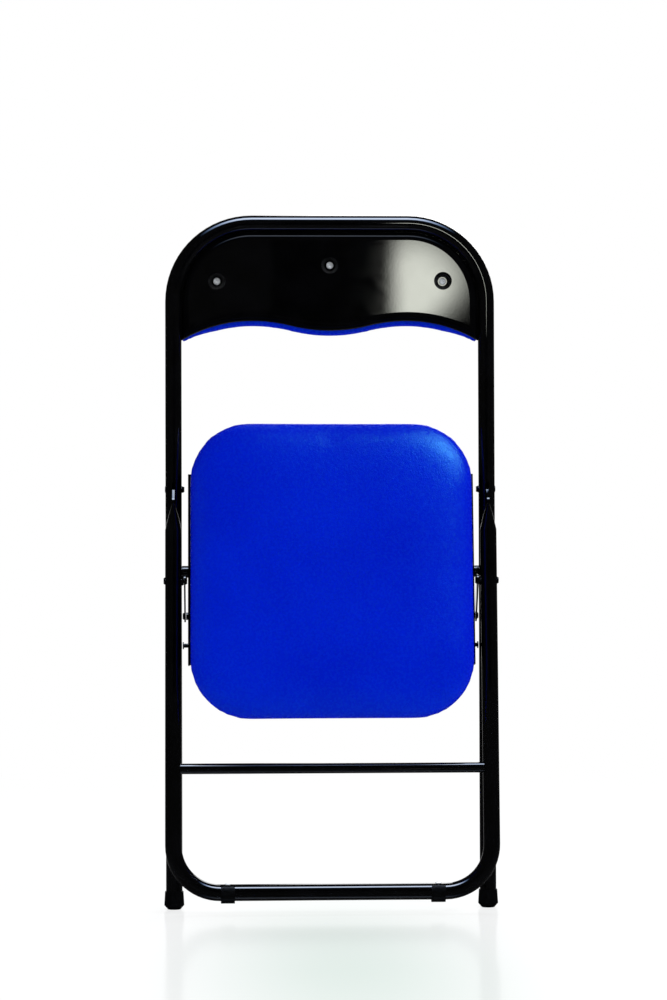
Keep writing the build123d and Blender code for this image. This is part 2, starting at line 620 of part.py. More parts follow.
# Link leg spacers: tapered bushes that hold the links off the rear legs
spacer_length = INNER_X - LINK_OUTER_X - 2 * TOUCH
with BuildPart() as link_leg_spacers:
    for _, side in SIDES:
        with Locations(across(side * (LINK_OUTER_X + TOUCH), LEG_REARWARD, LINK_LEG_Z, side)):
            Cone(SPACER_TIP_DIAMETER / 2, SPACER_DIAMETER / 2, spacer_length, align=ON_FOOT)
        with Locations(across(side * LINK_OUTER_X, LEG_REARWARD, LINK_LEG_Z, side)):
            Cylinder(LINK_RIVET_DIAMETER / 2 + FIT, TUBE_RADIUS, align=ON_FOOT, mode=Mode.SUBTRACT)
link_leg_spacers.part.label = "link_leg_spacers"
export_step(link_leg_spacers.part, "parts/link_leg_spacers.step")

# Link studs: shouldered studs riveted into the seat brackets, which carry the links' lower ends
with BuildPart() as link_studs:
    for _, side in SIDES:
        with Locations(across(side * BRACKET_OUTER_X, 0, LINK_STUD_Z, side)):
            Cylinder(STUD_SHOULDER / 2, LINK_INNER_X - TOUCH - BRACKET_OUTER_X, align=ON_FOOT)
        with Locations(across(side * BRACKET_OUTER_X, 0, LINK_STUD_Z, -side)):
            Cylinder(LINK_RIVET_DIAMETER / 2, BRACKET_SHEET, align=ON_FOOT)
        with Locations(across(side * (BRACKET_OUTER_X - BRACKET_SHEET), 0, LINK_STUD_Z, -side)):
            Cone(LINK_RIVET_HEAD / 2, HEAD_TIP * LINK_RIVET_HEAD / 2, LINK_HEAD_HEIGHT, align=ON_FOOT)
link_studs.part.label = "link_studs"
export_step(link_studs.part, "parts/link_studs.step")

# Link stud heads: the formed heads that hold the links on their studs
with BuildPart() as link_stud_heads:
    for _, side in SIDES:
        with Locations(across(side * LINK_INNER_X, 0, LINK_STUD_Z, side)):
            Cylinder(LINK_RIVET_DIAMETER / 2, LINK_THICKNESS, align=ON_FOOT)
        with Locations(across(side * LINK_OUTER_X, 0, LINK_STUD_Z, side)):
            Cone(LINK_RIVET_HEAD / 2, HEAD_TIP * LINK_RIVET_HEAD / 2, LINK_HEAD_HEIGHT, align=ON_FOOT)
link_stud_heads.part.label = "link_stud_heads"
export_step(link_stud_heads.part, "parts/link_stud_heads.step")

# Stop pins: flanged pins on the seat brackets that the links land on when the chair is open
with BuildPart() as stop_pins:
    for _, side in SIDES:
        pin_foot = side * (BRACKET_OUTER_X - BRACKET_SHEET)
        pin_tip = side * (BRACKET_OUTER_X + STOP_PIN_REACH)
        with Locations(across(pin_foot, -STOP_PIN_FORWARD, STOP_PIN_Z, side)):
            Cylinder(STOP_PIN_DIAMETER / 2, BRACKET_SHEET + STOP_PIN_REACH, align=ON_FOOT)
        with Locations(across(pin_tip, -STOP_PIN_FORWARD, STOP_PIN_Z, -side)):
            Cylinder(STOP_PIN_FLANGE / 2, STOP_PIN_FLANGE_THICKNESS, align=ON_FOOT)
        with Locations(across(pin_foot, -STOP_PIN_FORWARD, STOP_PIN_Z, -side)):
            Cylinder(STOP_PIN_FLANGE / 2, STOP_PIN_FLANGE_THICKNESS, align=ON_FOOT)
stop_pins.part.label = "stop_pins"
export_step(stop_pins.part, "parts/stop_pins.step")
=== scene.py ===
import json
from math import cos, pi, radians, sin

import bmesh
import bpy
from mathutils import Matrix, Vector
from mathutils.bvhtree import BVHTree


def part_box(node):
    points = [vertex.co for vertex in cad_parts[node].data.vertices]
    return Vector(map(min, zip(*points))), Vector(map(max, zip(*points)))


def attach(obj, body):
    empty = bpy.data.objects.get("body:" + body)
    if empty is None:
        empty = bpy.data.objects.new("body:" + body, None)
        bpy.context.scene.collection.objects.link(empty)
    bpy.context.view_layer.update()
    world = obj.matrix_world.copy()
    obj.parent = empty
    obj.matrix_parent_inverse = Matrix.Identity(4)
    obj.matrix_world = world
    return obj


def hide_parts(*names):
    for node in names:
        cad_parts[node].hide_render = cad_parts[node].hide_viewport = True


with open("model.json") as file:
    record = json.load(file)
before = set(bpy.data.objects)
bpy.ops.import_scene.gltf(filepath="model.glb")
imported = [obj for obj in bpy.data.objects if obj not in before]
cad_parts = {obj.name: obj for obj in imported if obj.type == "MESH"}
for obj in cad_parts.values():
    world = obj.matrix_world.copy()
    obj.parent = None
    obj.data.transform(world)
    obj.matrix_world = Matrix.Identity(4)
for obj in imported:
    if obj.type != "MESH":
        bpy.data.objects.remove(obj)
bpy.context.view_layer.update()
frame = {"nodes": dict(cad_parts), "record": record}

X_AXIS = Vector((1, 0, 0))
Y_AXIS = Vector((0, 1, 0))
Z_AXIS = Vector((0, 0, 1))

# Camera, fitted to the photograph's 667 x 1000 pixels
IMAGE_HEIGHT = 1000.0
FOCAL_PIXELS = 2849.3
CAMERA_PLACE = Vector((-0.1382, -3.8, 0.4762))
CAMERA_YAW = radians(-2.13)
CAMERA_PITCH = radians(1.059)
CAMERA_ROLL = radians(-0.159)
SENSOR = 36.0

# Pads, in metres
SEAT_LEAN = radians(7.5)
PAD_VOXEL = 0.005
PAD_START_INSET = 0.0025
PAD_PRESSURE = 4.0
PAD_STIFFNESS = 40.0
PAD_STEPS = 20
PAD_SWELL = 0.0022
PAD_SMOOTH_FACTOR = 0.5
PAD_SUBDIVISION = 1
SEAT_PAD_SMOOTHING = 12
BACK_PAD_SMOOTHING = 6
BACK_PAD_SPREAD = 0.0028

# Lower edge of the back pad: how far it hangs below the panel, and how it is measured
HEM_DROP = 0.0055
HEM_END_DROP = 0.0008
HEM_TAPER = 0.045
HEM_REACH = 0.030
HEM_INSET = 0.002
HEM_COLUMNS = 60
HEM_DEPTHS = 12
HEM_RAY_RUN = 1.0

# Screw heads, peg heads and the painted seam, in metres
SCREW_HEAD_RADIUS = 0.0049
SCREW_HEAD_HEIGHT = 0.0027
SCREW_SLOT_LENGTH = 0.0056
SCREW_SLOT_WIDTH = 0.0019
SCREW_SLOT_DEPTH = 0.0018
PEG_HEAD_RADIUS = 0.0042
PEG_HEAD_HEIGHT = 0.0021
PEG_HEAD_SINK = 0.0005
DOME_RIM = 0.25
DOME_STEPS = 7
LATHE_SEGMENTS = 32
TUBE_DIAMETER = 0.022
PANEL_CORNER_RADIUS = 0.0938
SEAM_RADIUS = 0.0009
SEAM_STEPS = 24
SAME_POINT = 1e-6

# Finishes: tones are linear colours, scales are per metre, depths are in metres
NOISE_RANGE = (0.3, 0.7)
TONE_DETAIL = 4.0
FINE_DETAIL = 3.0
BUMP_STRENGTH = 0.5
ENAMEL = {
    "tones": ((0.0005, 0.0005, 0.0006), (0.0014, 0.0014, 0.0018)), "tone_scale": 35.0,
    "rough": (0.03, 0.05), "rough_scale": 60.0, "grain_scale": 380.0, "grain_depth": 0.000008,
}
ENAMEL_COAT = 0.25
ENAMEL_COAT_ROUGHNESS = 0.03
PANEL_FACING = (-0.995, -0.96)
PANEL_SPECULAR = (0.62, 0.05)
RUBBER_SPECULAR = 0.2
VINYL_TONES = ((0.0, 0.004, 0.46), (0.0, 0.011, 0.58))
VINYL_DRIFT = 0.55
VINYL_DRIFT_SCALE = 9.0
VINYL_DRIFT_DETAIL = 2.0
VINYL_SPECK = 0.45
VINYL_SPECK_SCALE = 420.0
VINYL_ROUGHNESS = (0.22, 0.32)
VINYL_ROUGHNESS_SCALE = 260.0
VINYL_CELL_SCALE = 480.0
VINYL_CREASE_SCALE = 300.0
VINYL_GRAIN_DEPTH = 0.0006
VINYL_SPECULAR = 0.26
VINYL_TINT = (0.08, 0.8, 1.0)

# Light: colours, the strip above the chair and the soft box that shows in the panel
WHITE = (1.0, 1.0, 1.0)
SIDE_COLOUR = (0.92, 0.96, 1.0)
CHAIR_MIDDLE = (0, 0, 0.5)
OVERHEAD_COLOUR = (0.72, 0.82, 1.0)
OVERHEAD_EDGE_COLOUR = (0.30, 0.52, 1.0)
OVERHEAD_RADIANCE = 15.0
OVERHEAD_HEIGHT = 2.6
OVERHEAD_FAR = (0.05, -0.25)
OVERHEAD_NEAR = (-1.35, -0.85)
OVERHEAD_SIDE = (1.4, 0.2)
CARD_COLOUR = (0.97, 1.0, 0.89)
CARD_RADIANCE = 13.5
CARD_Y = -2.5
CARD_LEFT = 0.205
CARD_RIGHT = 0.47
CARD_LOW = 0.90
CARD_HIGH = 1.22
CARD_SOFT = 0.062
CARD_MIDDLE = (0.275, 1.067)
CARD_FADE = (0.175, 0.040)
CARD_CORNER = (0.345, 1.007)
CARD_CORNER_SLOPE = 0.8

# Black flags before the soft box: left, right, low and high edges
FLAG_Y = -1.25
FLAGS = {"side_flag": (-0.06, 0.13, 0.865, 1.15), "seat_flag": (-0.30, 0.50, 0.45, 0.865)}

# Floor, with the painted shade that gloss shows of it, a painted shadow before the chair, and world
FLOOR_HALF = 9
FLOOR_COLOUR = (0.90, 0.92, 0.91)
FLOOR_PAINTED_SHADE_IN_GLOSS = (0.03, 0.03, 0.03)
FLOOR_ROUGHNESS = 0.14
FLOOR_WHITE = 0.75
FLOOR_FADE = (0.9, 2.4)
# Painted shadow on the floor before the chair: its grey-green colour, its size and its place
PAINTED_SHADOW_COLOUR = (0.69, 0.79, 0.73)
PAINTED_SHADOW_SIZE = (0.27, 0.90)
PAINTED_SHADOW_Y = -0.55
WORLD_FILL = 0.42
BACKDROP_EDGE = (0.90, 0.985)
BACKDROP_DARK = 0.02


def node_maker(tree):
    """Maker of nodes in a tree, which links the sockets it is given and sets other values."""
    def make(kind, inputs=None, **settings):
        node = tree.nodes.new(kind)
        for key, value in settings.items():
            setattr(node, key, value)
        for key, value in (inputs or {}).items():
            if isinstance(value, bpy.types.NodeSocket):
                tree.links.new(value, node.inputs[key])
            else:
                node.inputs[key].default_value = value
        return node

    return make


def node_material(name):
    """New material with its node tree, its shader and a maker of nodes."""
    material = bpy.data.materials.new(name)
    material.use_nodes = True
    tree = material.node_tree
    return material, tree, tree.nodes["Principled BSDF"], node_maker(tree)


def math_result(make, operation, *values, **settings):
    """Result of a math node on numbers or sockets."""
    inputs = dict(enumerate(values))
    return make("ShaderNodeMath", inputs, operation=operation, **settings).outputs["Value"]


def vector_length(make, vector):
    """Length of a vector."""
    return make("ShaderNodeVectorMath", {0: vector}, operation="LENGTH").outputs["Value"]


def ramp(make, value, start, end, low=0.0, high=1.0, kind="SMOOTHSTEP"):
    """Step of a value from low at start to high at end, smooth or LINEAR."""
    limits = {"From Min": start, "From Max": end, "To Min": low, "To Max": high}
    step = make("ShaderNodeMapRange", {"Value": value, **limits}, interpolation_type=kind)
    return step.outputs["Result"]


def mottled(make, point, scale, detail, low, high):
    """Noise whose value runs from low to high: for roughness and other plain numbers."""
    noise = make("ShaderNodeTexNoise", {"Vector": point, "Scale": scale, "Detail": detail})
    return ramp(make, noise.outputs["Fac"], *NOISE_RANGE, low, high, "LINEAR")


def two_tone(make, factor, dark, light):
    """Mix of two colours by a factor."""
    mix = make("ShaderNodeMix", {"Factor": factor}, data_type="RGBA")
    mix.inputs["A"].default_value = (*dark, 1)
    mix.inputs["B"].default_value = (*light, 1)
    return mix.outputs["Result"]


def emboss(tree, shader, make, height, depth):
    """Bumps a shader's surface by a height pattern."""
    bump = make("ShaderNodeBump", {"Height": height, "Strength": BUMP_STRENGTH, "Distance": depth})
    tree.links.new(bump.outputs["Normal"], shader.inputs["Normal"])


def finish_material(name, tones, tone_scale, rough, rough_scale, grain_scale, grain_depth, metallic=0.0):
    """Procedural finish: mottled colour, uneven gloss and a fine bump, all at real scale."""
    material, tree, shader, make = node_material(name)
    point = make("ShaderNodeTexCoord").outputs["Object"]
    tone = mottled(make, point, tone_scale, TONE_DETAIL, 0.0, 1.0)
    tree.links.new(two_tone(make, tone, *tones), shader.inputs["Base Color"])
    gloss = mottled(make, point, rough_scale, FINE_DETAIL, *rough)
    tree.links.new(gloss, shader.inputs["Roughness"])
    grain = make("ShaderNodeTexNoise", {"Vector": point, "Scale": grain_scale, "Detail": FINE_DETAIL})
    emboss(tree, shader, make, grain.outputs["Fac"], grain_depth)
    shader.inputs["Metallic"].default_value = metallic
    return material, shader


def vinyl_material():
    """Blue vinyl: embossed grain of small cells, slight colour drift, soft gloss."""
    material, tree, shader, make = node_material("blue_vinyl")
    point = make("ShaderNodeTexCoord").outputs["Object"]
    drift = mottled(make, point, VINYL_DRIFT_SCALE, VINYL_DRIFT_DETAIL, 0.0, VINYL_DRIFT)
    speck = mottled(make, point, VINYL_SPECK_SCALE, TONE_DETAIL, 0.0, VINYL_SPECK)
    tone = math_result(make, "ADD", drift, speck, use_clamp=True)
    tree.links.new(two_tone(make, tone, *VINYL_TONES), shader.inputs["Base Color"])
    gloss = mottled(make, point, VINYL_ROUGHNESS_SCALE, FINE_DETAIL, *VINYL_ROUGHNESS)
    tree.links.new(gloss, shader.inputs["Roughness"])
    cell_inputs = {"Vector": point, "Scale": VINYL_CELL_SCALE}
    cells = make("ShaderNodeTexVoronoi", cell_inputs, feature="DISTANCE_TO_EDGE")
    crease_inputs = {"Vector": point, "Scale": VINYL_CREASE_SCALE, "Detail": TONE_DETAIL}
    creases = make("ShaderNodeTexNoise", crease_inputs)
    height = math_result(make, "ADD", cells.outputs["Distance"], creases.outputs["Fac"])
    emboss(tree, shader, make, height, VINYL_GRAIN_DEPTH)
    shader.inputs["Specular IOR Level"].default_value = VINYL_SPECULAR
    shader.inputs["Specular Tint"].default_value = (*VINYL_TINT, 1)
    return material


def dull_off_the_flat(material, shader):
    """Dry overspray on the rolled rim and in the dishes: little gloss off the face that looks to the rear."""
    make = node_maker(material.node_tree)
    facing = make("ShaderNodeSeparateXYZ", {"Vector": make("ShaderNodeTexCoord").outputs["Normal"]})
    gloss = ramp(make, facing.outputs["Y"], *PANEL_FACING, *PANEL_SPECULAR, "LINEAR")
    material.node_tree.links.new(gloss, shader.inputs["Specular IOR Level"])


enamel, enamel_shader = finish_material("black_enamel", **ENAMEL)
enamel_shader.inputs["Coat Weight"].default_value = ENAMEL_COAT
enamel_shader.inputs["Coat Roughness"].default_value = ENAMEL_COAT_ROUGHNESS
panel_enamel, panel_shader = finish_material("panel_enamel", **ENAMEL)
dull_off_the_flat(panel_enamel, panel_shader)
rubber, rubber_shader = finish_material(
    "black_rubber", tones=((0.0008, 0.0008, 0.0010), (0.0020, 0.0020, 0.0024)), tone_scale=90.0,
    rough=(0.34, 0.48), rough_scale=120.0, grain_scale=700.0, grain_depth=0.0002,
)
rubber_shader.inputs["Specular IOR Level"].default_value = RUBBER_SPECULAR
plastic, _ = finish_material(
    "black_plastic", tones=((0.004, 0.004, 0.0045), (0.009, 0.009, 0.01)), tone_scale=80.0,
    rough=(0.10, 0.18), rough_scale=90.0, grain_scale=600.0, grain_depth=0.00004,
)
# Painted reflection: the chrome gets a near-white colour with little metal, so that it shows as bright as lit
# chrome
chrome_with_painted_reflection, _ = finish_material(
    "plate_with_painted_reflection", tones=((0.88, 0.90, 0.93), (0.95, 0.96, 0.97)), tone_scale=160.0,
    rough=(0.20, 0.30), rough_scale=240.0, grain_scale=900.0, grain_depth=0.00003, metallic=0.15,
)
zinc, _ = finish_material(
    "zinc_plate", tones=((0.42, 0.42, 0.40), (0.60, 0.59, 0.55)), tone_scale=160.0,
    rough=(0.28, 0.42), rough_scale=240.0, grain_scale=900.0, grain_depth=0.00006, metallic=1.0,
)
board_paint, _ = finish_material(
    "painted_board", tones=((0.010, 0.010, 0.011), (0.020, 0.020, 0.021)), tone_scale=25.0,
    rough=(0.45, 0.62), rough_scale=70.0, grain_scale=160.0, grain_depth=0.0003,
)
vinyl = vinyl_material()

FINISHES = {
    "frame_paint": enamel,
    "vinyl": vinyl,
    "board": board_paint,
    "screw_chrome": chrome_with_painted_reflection,
    "screw_steel": zinc,
    "foot_rubber": rubber,
    "bush_plastic": plastic,
}
for part in frame["record"]["subparts"]:
    mesh = frame["nodes"][part["node"]].data
    mesh.materials.clear()
    mesh.materials.append(FINISHES[part["material_slot"]])
frame["nodes"]["back_panel"].data.materials[0] = panel_enamel


def dress(mesh, material):
    """Gives a mesh one material and smooth faces."""
    mesh.materials.clear()
    mesh.materials.append(material)
    mesh.shade_smooth()


def new_piece(name, mesh, material):
    """Object in the scene from a mesh, with one material and smooth faces."""
    piece = bpy.data.objects.new(name, mesh)
    bpy.context.scene.collection.objects.link(piece)
    dress(mesh, material)
    return piece


def apply_modifier(piece, modifier):
    """Bakes a piece's modifier into its mesh."""
    shape = bpy.data.meshes.new_from_object(piece.evaluated_get(bpy.context.evaluated_depsgraph_get()))
    piece.modifiers.remove(modifier)
    piece.data = shape


def extent(mesh, axis):
    """Least and greatest reach of a mesh along an axis."""
    reaches = [vertex.co.dot(axis) for vertex in mesh.vertices]
    return min(reaches), max(reaches)


def swell(pad):
    """Blows a pad up by cloth pressure."""
    cloth = pad.modifiers.new("cloth", "CLOTH")
    cloth.settings.effector_weights.gravity = 0.0
    cloth.settings.use_pressure = True
    cloth.settings.uniform_pressure_force = PAD_PRESSURE
    cloth.settings.tension_stiffness = PAD_STIFFNESS
    cloth.settings.compression_stiffness = PAD_STIFFNESS
    for step in range(1, PAD_STEPS + 1):
        bpy.context.scene.frame_set(step)
    apply_modifier(pad, cloth)
    bpy.context.scene.frame_set(1)


def fit_to(mesh, solid, outward, spread):
    """Brings a pad back to its solid's width and depth, with a spread at its sides."""
    left, right = extent(mesh, X_AXIS)
    solid_left, solid_right = extent(solid, X_AXIS)
    room = (solid_right - solid_left - right + left) / 2
    sides = [vertex.normal - vertex.normal.dot(outward) * outward for vertex in mesh.vertices]
    for vertex, side in zip(mesh.vertices, sides):
        vertex.co += (room + spread) * side
    base, top = extent(mesh, outward)
    solid_base, solid_top = extent(solid, outward)
    scale = (solid_top - solid_base) / (top - base)
    for vertex in mesh.vertices:
        reach = vertex.co.dot(outward)
        vertex.co += ((reach - base) * scale + solid_base - reach) * outward


def cushion(node, name, outward, smoothing, spread=0.0):
    """Vinyl pad swollen by cloth pressure from a node's solid, flat where it rests on its board."""
    solid = frame["nodes"][node].data
    board_level = extent(solid, outward)[0]
    pad = new_piece(name, solid.copy(), vinyl)
    remesh = pad.modifiers.new("remesh", "REMESH")
    remesh.mode = "VOXEL"
    remesh.voxel_size = PAD_VOXEL
    apply_modifier(pad, remesh)
    start = [vertex.co.copy() for vertex in pad.data.vertices]
    for vertex in pad.data.vertices:
        vertex.co -= PAD_START_INSET * vertex.normal
    swell(pad)
    for vertex, origin in zip(pad.data.vertices, start):
        move = vertex.co - origin
        if move.length > PAD_SWELL:
            vertex.co = origin + move * (PAD_SWELL / move.length)
        sunk = board_level - vertex.co.dot(outward)
        if sunk > 0:
            vertex.co += sunk * outward
    smooth = pad.modifiers.new("smooth", "SMOOTH")
    smooth.factor = PAD_SMOOTH_FACTOR
    smooth.iterations = smoothing
    apply_modifier(pad, smooth)
    subdivision = pad.modifiers.new("subdivision", "SUBSURF")
    subdivision.levels = PAD_SUBDIVISION
    subdivision.render_levels = PAD_SUBDIVISION
    apply_modifier(pad, subdivision)
    fit_to(pad.data, solid, outward, spread)
    dress(pad.data, vinyl)
    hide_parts(node)
    return pad


def lower_edge(mesh, columns):
    """Height of a mesh's lower edge at each column's x."""
    points = [vertex.co.copy() for vertex in mesh.vertices]
    tree = BVHTree.FromPolygons(points, [face.vertices[:] for face in mesh.polygons])
    near, far = extent(mesh, Y_AXIS)
    below = extent(mesh, Z_AXIS)[0] - HEM_RAY_RUN
    depths = [near + (far - near) * (step + 0.5) / HEM_DEPTHS for step in range(HEM_DEPTHS)]
    heights = []
    for x in columns:
        hits = [tree.ray_cast(Vector((x, depth, below)), Z_AXIS)[0] for depth in depths]
        heights.append(min(hit.z for hit in hits if hit))
    return heights


def hem(mesh, panel):
    """Brings a pad's lower edge to an even drop below the panel's wavy edge, less towards its two ends."""
    left, right = extent(panel, X_AXIS)
    step = (right - left - 2 * HEM_INSET) / HEM_COLUMNS
    columns = [left + HEM_INSET + number * step for number in range(HEM_COLUMNS + 1)]
    lows = lower_edge(mesh, columns)
    shifts = []
    for x, low, edge in zip(columns, lows, lower_edge(panel, columns)):
        share = min(1, min(x - left, right - x) / HEM_TAPER)
        shifts.append(edge - HEM_END_DROP - share * (HEM_DROP - HEM_END_DROP) - low)
    for vertex in mesh.vertices:
        place = min(max((vertex.co.x - columns[0]) / step, 0), HEM_COLUMNS)
        first = min(int(place), HEM_COLUMNS - 1)
        part = place - first
        low = lows[first] * (1 - part) + lows[first + 1] * part
        shift = shifts[first] * (1 - part) + shifts[first + 1] * part
        near_edge = max(0, 1 - max(0, vertex.co.z - low) / HEM_REACH)
        vertex.co.z += shift * near_edge


def lathe(profile):
    """Mesh turned about Z from (radius, height) pairs that start and end on the axis."""
    shape = bmesh.new()
    turns = [2 * pi * step / LATHE_SEGMENTS for step in range(LATHE_SEGMENTS)]
    rings = []
    for radius, height in profile:
        points = [(radius * cos(turn), radius * sin(turn), height) for turn in turns]
        rings.append([shape.verts.new(point) for point in (points if radius else points[:1])])
    for low, high in zip(rings, rings[1:]):
        for step in range(LATHE_SEGMENTS):
            after = (step + 1) % LATHE_SEGMENTS
            if len(low) == 1:
                shape.faces.new((low[0], high[after], high[step]))
            elif len(high) == 1:
                shape.faces.new((low[step], low[after], high[0]))
            else:
                shape.faces.new((low[step], low[after], high[after], high[step]))
    bmesh.ops.recalc_face_normals(shape, faces=shape.faces)
    mesh = bpy.data.meshes.new("turned")
    shape.to_mesh(mesh)
    shape.free()
    return mesh


def dome(radius, height):
    """Profile of a low round head whose flat face is at height 0."""
    rim = DOME_RIM * height
    turns = [radians(90 * step / DOME_STEPS) for step in range(DOME_STEPS)]
    rise = [(radius * cos(turn), rim + (height - rim) * sin(turn)) for turn in turns]
    return [(0, 0), (radius, 0), *rise, (0, height)]


def solid_boxes(mesh):
    """Lowest and highest corner of each separate solid of a mesh, from right to left."""
    shape = bmesh.new()
    shape.from_mesh(mesh)
    bmesh.ops.remove_doubles(shape, verts=shape.verts, dist=SAME_POINT)
    left = set(shape.verts)
    boxes = []
    while left:
        group = []
        todo = [left.pop()]
        while todo:
            vertex = todo.pop()
            group.append(vertex.co.copy())
            for edge in vertex.link_edges:
                other = edge.other_vert(vertex)
                if other in left:
                    left.remove(other)
                    todo.append(other)
        low = Vector(min(point[axis] for point in group) for axis in range(3))
        high = Vector(max(point[axis] for point in group) for axis in range(3))
        boxes.append((low, high))
    shape.free()
    return sorted(boxes, key=lambda box: -box[0].x)


def cross_slot(piece):
    """Cuts a cross recess into the top of a screw head that points along its Z."""
    for length_x, length_y in ((SCREW_SLOT_LENGTH, SCREW_SLOT_WIDTH), (SCREW_SLOT_WIDTH, SCREW_SLOT_LENGTH)):
        shape = bmesh.new()
        bmesh.ops.create_cube(shape, size=1.0)
        bmesh.ops.scale(shape, verts=shape.verts, vec=(length_x, length_y, 2 * SCREW_SLOT_DEPTH))
        bmesh.ops.translate(shape, verts=shape.verts, vec=(0, 0, SCREW_HEAD_HEIGHT))
        mesh = bpy.data.meshes.new("slot")
        shape.to_mesh(mesh)
        shape.free()
        cutter = bpy.data.objects.new("slot", mesh)
        bpy.context.scene.collection.objects.link(cutter)
        cut = piece.modifiers.new("cut", "BOOLEAN")
        cut.operation = "DIFFERENCE"
        cut.object = cutter
        apply_modifier(piece, cut)
        bpy.data.objects.remove(cutter)


# Pads
seat_outward = Vector((0, -cos(SEAT_LEAN), sin(SEAT_LEAN)))
seat_cushion = cushion("seat_pad", "seat_cushion", seat_outward, SEAT_PAD_SMOOTHING)
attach(seat_cushion, "seat")

back_cushion = cushion("back_pad", "back_cushion", Y_AXIS, BACK_PAD_SMOOTHING, BACK_PAD_SPREAD)
hem(back_cushion.data, frame["nodes"]["back_panel"].data)
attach(back_cushion, "front_frame")

# Cross-recessed screw heads in the panel's dishes
facing_rear = Matrix.Rotation(radians(90), 4, "X")
heads = bmesh.new()
for low, high in solid_boxes(frame["nodes"]["back_screws"].data):
    head = new_piece("head", lathe(dome(SCREW_HEAD_RADIUS, SCREW_HEAD_HEIGHT)), chrome_with_painted_reflection)
    cross_slot(head)
    middle = (low + high) / 2
    head.data.transform(Matrix.Translation((middle.x, low.y + SCREW_HEAD_HEIGHT, middle.z)) @ facing_rear)
    heads.from_mesh(head.data)
    bpy.data.objects.remove(head)
heads_mesh = bpy.data.meshes.new("back_screw_heads")
heads.to_mesh(heads_mesh)
heads.free()
screw_heads = new_piece("back_screw_heads", heads_mesh, chrome_with_painted_reflection)
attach(screw_heads, "front_frame")
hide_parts("back_screws")

# Paint that fills the joint between the panel and the tube round it
panel_low, panel_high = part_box("back_panel")
tube_low, tube_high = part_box("back_frame")
corner_x = panel_high[0] - PANEL_CORNER_RADIUS
corner_z = panel_high[2] - PANEL_CORNER_RADIUS
seam_points = [(panel_high[0], panel_low[2])]
for side, first in ((1, 0), (-1, 90)):
    for step in range(SEAM_STEPS + 1):
        turn = radians(first + 90 * step / SEAM_STEPS)
        seam_x = side * corner_x + PANEL_CORNER_RADIUS * cos(turn)
        seam_points.append((seam_x, corner_z + PANEL_CORNER_RADIUS * sin(turn)))
seam_points.append((-panel_high[0], panel_low[2]))
seam_curve = bpy.data.curves.new("panel_seam", "CURVE")
seam_curve.dimensions = "3D"
seam_curve.bevel_depth = SEAM_RADIUS
seam_line = seam_curve.splines.new("POLY")
seam_line.points.add(len(seam_points) - 1)
for point, (x, z) in zip(seam_line.points, seam_points):
    point.co = (x, (tube_low[1] + tube_high[1]) / 2, z, 1)
seam_path = bpy.data.objects.new("seam_path", seam_curve)
panel_seam = new_piece("panel_seam", bpy.data.meshes.new_from_object(seam_path), enamel)
bpy.data.objects.remove(seam_path)
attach(panel_seam, "front_frame")

# Round heads of the pegs that hold the glides, on top of the lower bar
bar_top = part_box("rear_leg_frame")[0][2] + TUBE_DIAMETER
for number, (low, high) in enumerate(solid_boxes(frame["nodes"]["rear_glides"].data)):
    peg = new_piece(f"glide_peg_head_{number}", lathe(dome(PEG_HEAD_RADIUS, PEG_HEAD_HEIGHT)), chrome_with_painted_reflection)
    middle = (low + high) / 2
    peg.data.transform(Matrix.Translation((middle.x, middle.y, bar_top - PEG_HEAD_SINK)))
    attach(peg, "rear_leg")


def area_light(name, place, size, radiance, target=CHAIR_MIDDLE, colour=SIDE_COLOUR):
    """Soft box of a given radiance, facing a point and hidden from the camera."""
    lamp = bpy.data.lights.new(name, "AREA")
    lamp.shape = "RECTANGLE"
    lamp.size, lamp.size_y = size
    lamp.energy = radiance * pi * size[0] * size[1]
    lamp.color = colour
    light = bpy.data.objects.new(name, lamp)
    light.location = place
    light.rotation_euler = (Vector(target) - Vector(place)).to_track_quat("-Z", "Y").to_euler()
    light.visible_camera = False
    bpy.context.scene.collection.objects.link(light)
    return light


def link_light(source, state, *pieces):
    """Keeps a light off some pieces (EXCLUDE), or to those pieces alone (INCLUDE)."""
    group = bpy.data.collections.new(f"{source.name}_{state.lower()}")
    for piece in pieces:
        group.objects.link(piece)
    for member in group.collection_objects:
        member.light_linking.link_state = state
    source.light_linking.receiver_collection = group


# Lamps: a sheen for the seat alone, fills that don't show in gloss, and light on the chair's front
sheen = area_light("sheen", place=(2.0, -1.8, 3.2), size=(1.8, 1.8), radiance=21.0)
sheen.visible_diffuse = False
link_light(sheen, "INCLUDE", seat_cushion)
fills = [
    area_light("key", place=(2.3, -2.0, 2.8), size=(1.4, 1.4), radiance=16.0),
    area_light("ceiling", place=(0.0, 0.7, 2.6), size=(1.6, 1.2), radiance=8.0, target=(0, 0.4, 0)),
    area_light("side_left", place=(-2.6, -1.4, 1.2), size=(1.3, 1.3), radiance=2.5),
]
for fill_light in fills:
    fill_light.visible_glossy = False
area_light("front", place=(0.8, 3.2, 2.2), size=(1.6, 1.6), radiance=4.0, colour=WHITE)


def flat_piece(name, corners, material):
    """Four-cornered flat stage piece."""
    mesh = bpy.data.meshes.new(name)
    mesh.from_pydata(corners, [], [(0, 1, 2, 3)])
    piece = new_piece(name, mesh, material)
    return piece


def upright(left, right, low, high, y):
    """Corners of an upright rectangle that faces along Y."""
    return [(left, y, low), (right, y, low), (right, y, high), (left, y, high)]


def show_in_gloss_only(piece):
    """Hides a stage piece from the camera, from diffuse light and from shadows."""
    piece.visible_camera = False
    piece.visible_diffuse = False
    piece.visible_shadow = False


def light_card(name, corners, radiance, pattern):
    """Glowing card that shows in gloss only, its brightness of 0 to 1 and its colour from a pattern."""
    material, tree, _, make = node_material(name)
    point = make("ShaderNodeTexCoord").outputs["Object"]
    glow, colour = pattern(make, make("ShaderNodeSeparateXYZ", {"Vector": point}).outputs)
    strength = math_result(make, "MULTIPLY", glow, radiance)
    emission = make("ShaderNodeEmission", {"Color": colour, "Strength": strength})
    tree.links.new(emission.outputs["Emission"], tree.nodes["Material Output"].inputs["Surface"])
    card = flat_piece(name, corners, material)
    show_in_gloss_only(card)
    return card


